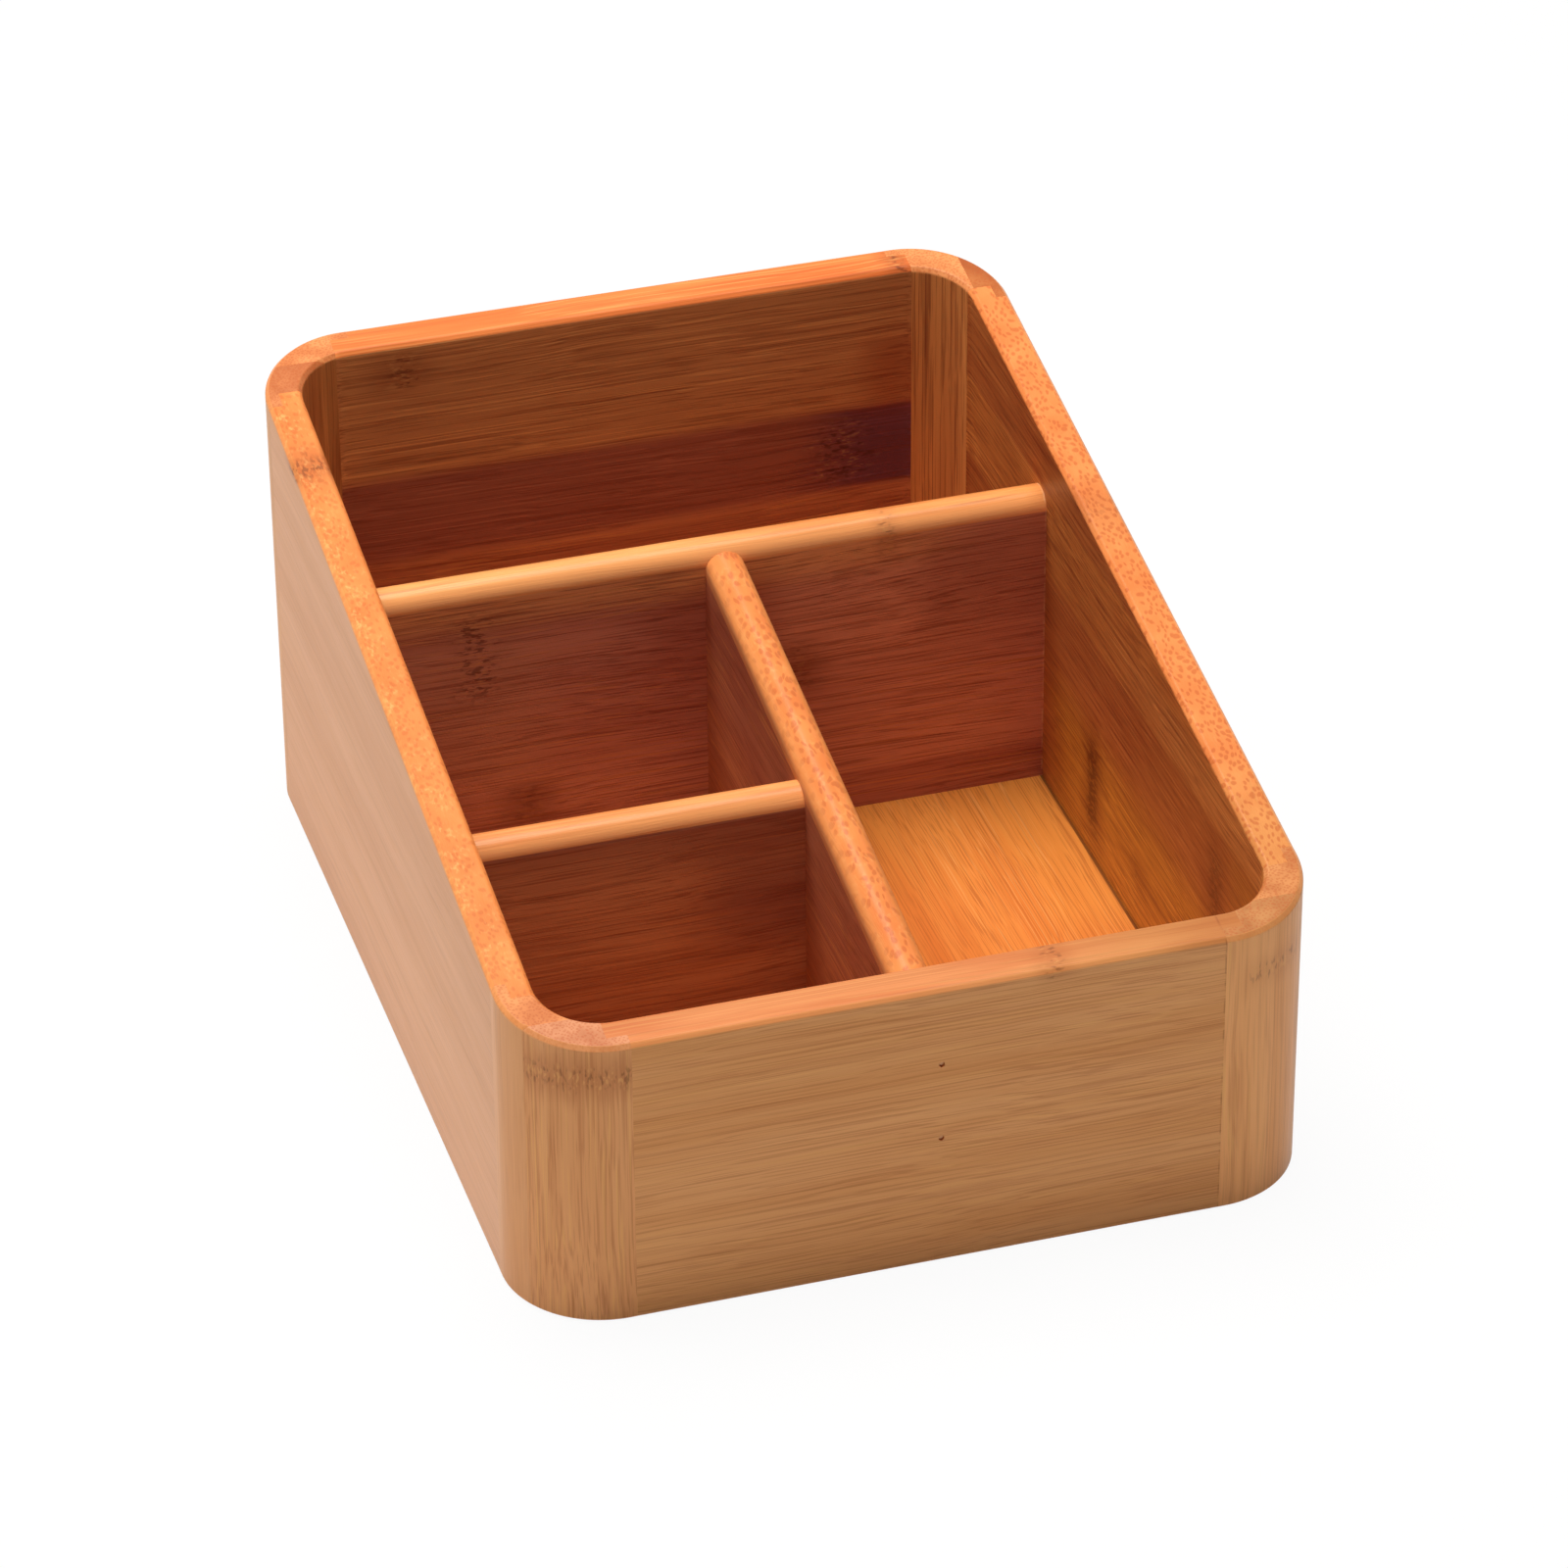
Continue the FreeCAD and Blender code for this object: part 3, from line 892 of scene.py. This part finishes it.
def bamboo(board):
    """The lacquered bamboo of one board."""
    finish = bpy.context.scene.organizer_finish
    material = bpy.data.materials.new(board.node + "_bamboo")
    graph = cleared_graph(material)
    surface = Surface(graph, board)

    upward = graph.split(surface.normal)[2]
    top = graph.step(upward, *INNER_RIM)
    cut = cut_colour(surface)
    if board.inward:
        outer = graph.step(upward, *OUTER_RIM)
        top = graph.math("MULTIPLY_ADD", surface.inside, graph.math("SUBTRACT", top, outer), outer)
        outside = graph.math("SUBTRACT", 1.0, surface.inside)
        # The outer eased rim takes the pale edge colour as a painted highlight
        eased = graph.times(graph.between(upward, *EASED_RIM_HIGHLIGHT), outside, EASED_HIGHLIGHT_SHARE)
        cut = graph.mix(eased, cut, finish.edge)
    # The rounded sides of a divider's top take the edge colour: partly its ochre, partly painted light
    # lifting their shade
    if board.edge:
        cut = graph.mix(graph.times(graph.step(upward, *CROWN), board.edge), cut, finish.edge)
    face = face_colour(surface)
    # A band under the ridge takes the edge colour too: painted light, standing in for the lit lower
    # rounding
    if board.lit_band_depth:
        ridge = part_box(board.node)[1] / MM
        behind = graph.math("SUBTRACT", ridge.y, surface.axes["Y"])
        fall = rim_slope() if board.grain[0] == "Y" else 0.0
        height = graph.math("MULTIPLY_ADD", behind, fall, surface.axes["Z"])
        painted_light_band = graph.step(height, ridge.z - board.lit_band_depth, ridge.z - LIT_BAND_FADE * board.lit_band_depth)
        face = graph.mix(graph.times(painted_light_band, board.edge), face, finish.edge)
    colour = marked(surface, graph.mix(top, face, cut))

    fibres = surface.streaks["Fibres"]
    rough = graph.math("MULTIPLY_ADD", fibres, ROUGHNESS_SPREAD, finish.roughness - ROUGHNESS_SPREAD / 2)
    height = graph.math("MULTIPLY_ADD", surface.streaks["Streaks"], STREAK_RELIEF, fibres)
    bump = graph.add("ShaderNodeBump", Strength=1.0, Distance=finish.relief, Height=height)
    shader = graph.add(
        "ShaderNodeBsdfPrincipled", Base_Color=colour, Roughness=rough, Normal=bump.outputs[0],
        Specular_IOR_Level=0.12, Coat_Weight=board.coat, Coat_Roughness=0.22, IOR=1.45,
    )
    graph.add("ShaderNodeOutputMaterial", Surface=shader.outputs[0])
    return material


def evaluated_mesh(piece):
    """The mesh that a piece's modifiers give, which then takes the place of its own."""
    view = bpy.context.evaluated_depsgraph_get()
    finished = bpy.data.meshes.new_from_object(piece.evaluated_get(view))
    plain = piece.data
    piece.modifiers.clear()
    piece.data = finished
    bpy.data.meshes.remove(plain)


def new_object(name, data):
    made = bpy.data.objects.new(name, data)
    bpy.context.scene.collection.objects.link(made)
    return made


def stand_for(piece, node):
    """Hide a node, and put the piece that takes its place on the box's body so that it moves with the
    box.
    """
    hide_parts(node)
    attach(piece, BODY)


# Edges that turn by fewer degrees than the first are smooth, and those up to the second are rounded
SMOOTH_TURN = 27
EASED_TURN = 65
MERGE_DISTANCE = 0.002 * MM
FLAT_ANGLE = math.radians(0.4)


def softened_copy(node):
    """A copy of a CAD node with its triangles merged, its eased edges rounded and smooth normals."""
    sizes = bpy.context.scene.organizer_sizes
    work = bmesh.new()
    work.from_mesh(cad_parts[node].data)
    bmesh.ops.remove_doubles(work, verts=work.verts, dist=MERGE_DISTANCE)
    bmesh.ops.dissolve_limit(work, angle_limit=FLAT_ANGLE, verts=work.verts, edges=work.edges)
    weight = work.edges.layers.float.new("bevel_weight_edge")
    for face in work.faces:
        face.smooth = True
    for edge in work.edges:
        turn = math.degrees(edge.calc_face_angle(0.0))
        edge[weight] = 1.0 if SMOOTH_TURN < turn < EASED_TURN else 0.0
        edge.smooth = turn < SMOOTH_TURN
    mesh = bpy.data.meshes.new(node + "_bamboo")
    work.to_mesh(mesh)
    work.free()
    piece = new_object(node + "_bamboo", mesh)
    rounding = piece.modifiers.new("rounding", "BEVEL")
    rounding.limit_method = "WEIGHT"
    rounding.width = sizes.edge_round
    rounding.segments = 3
    normals = piece.modifiers.new("normals", "WEIGHTED_NORMAL")
    normals.keep_sharp = True
    evaluated_mesh(piece)
    return piece


def finish_boards(boards):
    """Give each board its rounded edges and its bamboo."""
    for board in boards:
        piece = softened_copy(board.node)
        piece.data.materials.clear()
        piece.data.materials.append(bamboo(board))
        stand_for(piece, board.node)


class ORGANIZER_OT_panels(bpy.types.Operator):
    """Finish the front, back and side panels"""

    bl_idname = "organizer.panels"
    bl_label = "Panels"

    def execute(self, context):
        finish_boards(PANELS)
        return {"FINISHED"}


class ORGANIZER_OT_posts(bpy.types.Operator):
    """Finish the upright strips of the corner posts"""

    bl_idname = "organizer.posts"
    bl_label = "Corner Posts"

    def execute(self, context):
        finish_boards(POSTS)
        return {"FINISHED"}


class ORGANIZER_OT_dividers(bpy.types.Operator):
    """Finish the three dividers"""

    bl_idname = "organizer.dividers"
    bl_label = "Dividers"

    def execute(self, context):
        finish_boards(DIVIDERS)
        return {"FINISHED"}


class ORGANIZER_OT_bottom(bpy.types.Operator):
    """Finish the bottom panel"""

    bl_idname = "organizer.bottom"
    bl_label = "Bottom Panel"

    def execute(self, context):
        finish_boards([BOTTOM])
        return {"FINISHED"}


# Pins

PIN_NODES = ("front_pins", "cross_divider_pins", "long_divider_pins")
PIN_SIDES = 20
PINS_IN_ROW = 2
# Both pin colours are painted pale, lifting the pins' ends out of the shade of their holes
PIN_PALE = srgb(238, 186, 134)
PIN_BROWN = srgb(204, 148, 100)
TARNISH_WAVES = 2.2 / MM


def pin_steel():
    """Tarnished steel under brown lacquer, painted pale to lift the pins' ends out of the shade of their
    holes.
    """
    material = bpy.data.materials.new("pin_steel")
    graph = cleared_graph(material)
    source = graph.add("ShaderNodeTexCoord")
    tarnish = graph.noise(graph.scaled(source.outputs["Object"], TARNISH_WAVES), 3.0)
    colour = graph.mix(tarnish, PIN_PALE, PIN_BROWN)
    rough = graph.math("MULTIPLY_ADD", tarnish, 0.3, 0.4)
    metal = graph.ramp(tarnish, 0.3, 0.7, 0.2, 0.0)
    shader = graph.add("ShaderNodeBsdfPrincipled", Base_Color=colour, Roughness=rough, Metallic=metal)
    graph.add("ShaderNodeOutputMaterial", Surface=shader.outputs[0])
    return material


def by_number(graph, values):
    """A field that takes a point's number and gives the value at that place in a list."""
    switch = graph.add("GeometryNodeIndexSwitch", {"data_type": "FLOAT"})
    while len(switch.index_switch_items) < len(values):
        switch.index_switch_items.new()
    graph.feed(switch.inputs[0], graph.add("GeometryNodeInputIndex").outputs[0])
    graph.feed_all(switch.inputs[1:], values)
    return switch.outputs[0]


def pin_row_tree():
    """A row of pins, one over the other: round bars with eased ends, pointing along a direction."""
    inputs = {
        "Diameter": "Float", "Length": "Float", "Ease": "Float", "Pitch": "Float", "Count": "Int",
        "Start": "Vector", "Direction": "Vector", "Material": "Material",
    }
    graph, entry, leaving = make_tree("pin_row", "GeometryNodeTree", inputs, {"Pins": "Geometry"})
    radius = graph.times(entry["Diameter"], 0.5)
    eased = graph.math("SUBTRACT", radius, entry["Ease"])
    shoulder = graph.math("SUBTRACT", entry["Length"], entry["Ease"])
    reach = by_number(graph, (0.0, entry["Ease"], shoulder, entry["Length"]))
    girth = by_number(graph, (eased, radius, radius, eased))

    line = graph.add("GeometryNodeMeshLine", Count=4)
    placed = graph.add(
        "GeometryNodeSetPosition", Geometry=line.outputs[0], Position=graph.join(0.0, 0.0, reach)
    )
    path = graph.add("GeometryNodeMeshToCurve", Mesh=placed.outputs[0])
    outline = graph.add("GeometryNodeCurvePrimitiveCircle", Resolution=PIN_SIDES, Radius=1.0)
    pin = graph.add(
        "GeometryNodeCurveToMesh", Curve=path.outputs[0], Profile_Curve=outline.outputs[0],
        Scale=girth, Fill_Caps=True,
    )
    row = graph.add(
        "GeometryNodeMeshLine", Count=entry["Count"], Start_Location=entry["Start"],
        Offset=graph.join(0.0, 0.0, entry["Pitch"]),
    )
    turn = graph.add("FunctionNodeAlignRotationToVector", {"axis": "Z"}, Vector=entry["Direction"])
    pins = graph.add(
        "GeometryNodeInstanceOnPoints", Points=row.outputs[0], Instance=pin.outputs[0],
        Rotation=turn.outputs[0],
    )
    whole = graph.add("GeometryNodeRealizeInstances", Geometry=pins.outputs[0])
    painted = graph.add("GeometryNodeSetMaterial", Geometry=whole.outputs[0], Material=entry["Material"])
    graph.feed(leaving[0], painted.outputs[0])
    return graph.tree


def pin_row(node, tree, steel):
    """The pins of one node, made over again with eased ends in the same places."""
    low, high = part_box(node)
    size = high - low
    along = max("xy", key=lambda axis: getattr(size, axis))
    direction = Vector((1, 0, 0)) if along == "x" else Vector((0, 1, 0))
    diameter = min(size)
    start = (low + high) / 2
    setattr(start, along, getattr(low, along))
    start.z = low.z + diameter / 2
    values = {
        "Diameter": diameter, "Length": getattr(size, along), "Pitch": size.z - diameter,
        "Count": PINS_IN_ROW, "Ease": bpy.context.scene.organizer_sizes.pin_ease, "Start": start,
        "Direction": direction, "Material": steel,
    }
    piece = new_object(node + "_steel", bpy.data.meshes.new(node + "_steel"))
    modifier = piece.modifiers.new("pin_row", "NODES")
    modifier.node_group = tree
    for socket in tree.interface.items_tree:
        if socket.in_out == "INPUT":
            modifier[socket.identifier] = values[socket.name]
    evaluated_mesh(piece)
    piece.data.shade_smooth()
    piece.data.set_sharp_from_angle(angle=math.radians(30))
    stand_for(piece, node)


class ORGANIZER_OT_pins(bpy.types.Operator):
    """Make the pins that hold the dividers"""

    bl_idname = "organizer.pins"
    bl_label = "Pins"

    def execute(self, context):
        tree = pin_row_tree()
        steel = pin_steel()
        for node in PIN_NODES:
            pin_row(node, tree, steel)
        return {"FINISHED"}


# Stage

FLOOR_REACH = 4.0
FLOOR_DROP = 0.1 * MM
FLOOR_GLOW = 0.94
LAMP_SIZE = 0.9
LAMP_COLOUR = (1.0, 0.97, 0.93)


def seen_directly(graph):
    """One for rays from the camera and for reflections, zero for the light that falls on things."""
    path = graph.add("ShaderNodeLightPath")
    mirrored = graph.math("MAXIMUM", path.outputs["Is Glossy Ray"], path.outputs["Is Transmission Ray"])
    return graph.math("MAXIMUM", path.outputs["Is Camera Ray"], mirrored)


def mixed_shaders(graph, factor, first, second):
    mixed = graph.add("ShaderNodeMixShader")
    graph.feed_all(mixed.inputs, (factor, first.outputs[0], second.outputs[0]))
    return mixed.outputs[0]


def floor_material(settings):
    """White paper that mostly glows white where it is seen, and still takes the box's shadow."""
    material = bpy.data.materials.new("floor")
    graph = cleared_graph(material)
    paper = graph.add("ShaderNodeBsdfDiffuse", Color=(*settings.floor, 1))
    glow = graph.add("ShaderNodeEmission", Color=(1, 1, 1, 1), Strength=1.0)
    share = graph.times(seen_directly(graph), FLOOR_GLOW)
    graph.add("ShaderNodeOutputMaterial", Surface=mixed_shaders(graph, share, paper, glow))
    return material


def make_floor(settings):
    mesh = bpy.data.meshes.new("floor")
    corners = [(-1, -1), (1, -1), (1, 1), (-1, 1)]
    places = [(x * FLOOR_REACH, y * FLOOR_REACH, -FLOOR_DROP) for x, y in corners]
    mesh.from_pydata(places, [], [(0, 1, 2, 3)])
    mesh.materials.append(floor_material(settings))
    new_object("floor", mesh)


def make_world(settings):
    world = bpy.data.worlds.new("studio")
    bpy.context.scene.world = world
    graph = cleared_graph(world)
    even = graph.add("ShaderNodeBackground", Color=(1, 1, 1, 1), Strength=settings.fill)
    white = graph.add("ShaderNodeBackground", Color=(1, 1, 1, 1), Strength=1.0)
    graph.add("ShaderNodeOutputWorld", Surface=mixed_shaders(graph, seen_directly(graph), even, white))


def make_key_lamp(settings):
    data = bpy.data.lights.new("key", "AREA")
    data.shape = "SQUARE"
    data.size = LAMP_SIZE
    data.energy = settings.key_power
    data.color = LAMP_COLOUR
    lamp = new_object("key", data)
    lamp.location = settings.key_place
    lamp.rotation_mode = "QUATERNION"
    lamp.rotation_quaternion = (-Vector(settings.key_place)).to_track_quat("-Z", "Y")


def make_camera(settings):
    data = bpy.data.cameras.new("camera")
    data.sensor_width = 36
    data.lens = settings.lens
    data.clip_start = 0.01
    camera = new_object("camera", data)
    level = math.cos(settings.elevation)
    back = Vector((
        math.sin(settings.azimuth) * level,
        -math.cos(settings.azimuth) * level,
        math.sin(settings.elevation),
    ))
    camera.location = Vector(settings.target) + back * settings.distance
    camera.rotation_mode = "QUATERNION"
    camera.rotation_quaternion = (-back).to_track_quat("-Z", "Y") @ Quaternion((0, 0, 1), settings.roll)
    bpy.context.scene.camera = camera


class ORGANIZER_OT_stage(bpy.types.Operator):
    """Set the camera, the lamp and the floor"""

    bl_idname = "organizer.stage"
    bl_label = "Stage"

    def execute(self, context):
        settings = context.scene.organizer_studio
        context.scene.view_settings.view_transform = "Standard"
        make_floor(settings)
        make_world(settings)
        make_key_lamp(settings)
        make_camera(settings)
        return {"FINISHED"}


class ORGANIZER_PT_sidebar(bpy.types.Panel):
    """Buttons for the organizer's pieces"""

    bl_idname = "ORGANIZER_PT_sidebar"
    bl_label = "Organizer"
    bl_space_type = "VIEW_3D"
    bl_region_type = "UI"
    bl_category = "Organizer"

    def draw(self, context):
        for step in STEPS:
            self.layout.operator(step.bl_idname)


SETTINGS = [
    ("organizer_finish", BambooFinish),
    ("organizer_sizes", BoardSizes),
    ("organizer_studio", StudioSettings),
]
STEPS = [
    ORGANIZER_OT_panels,
    ORGANIZER_OT_posts,
    ORGANIZER_OT_dividers,
    ORGANIZER_OT_bottom,
    ORGANIZER_OT_pins,
    ORGANIZER_OT_stage,
]


def register():
    for name, group in SETTINGS:
        bpy.utils.register_class(group)
        setattr(bpy.types.Scene, name, PointerProperty(type=group))
    for step in STEPS:
        bpy.utils.register_class(step)
    bpy.utils.register_class(ORGANIZER_PT_sidebar)


def unregister():
    bpy.utils.unregister_class(ORGANIZER_PT_sidebar)
    for step in reversed(STEPS):
        bpy.utils.unregister_class(step)
    for name, group in reversed(SETTINGS):
        delattr(bpy.types.Scene, name)
        bpy.utils.unregister_class(group)


def main():
    register()
    bpy.ops.organizer.panels()
    bpy.ops.organizer.posts()
    bpy.ops.organizer.dividers()
    bpy.ops.organizer.bottom()
    bpy.ops.organizer.pins()
    bpy.ops.organizer.stage()


if __name__ == "__main__":
    main()
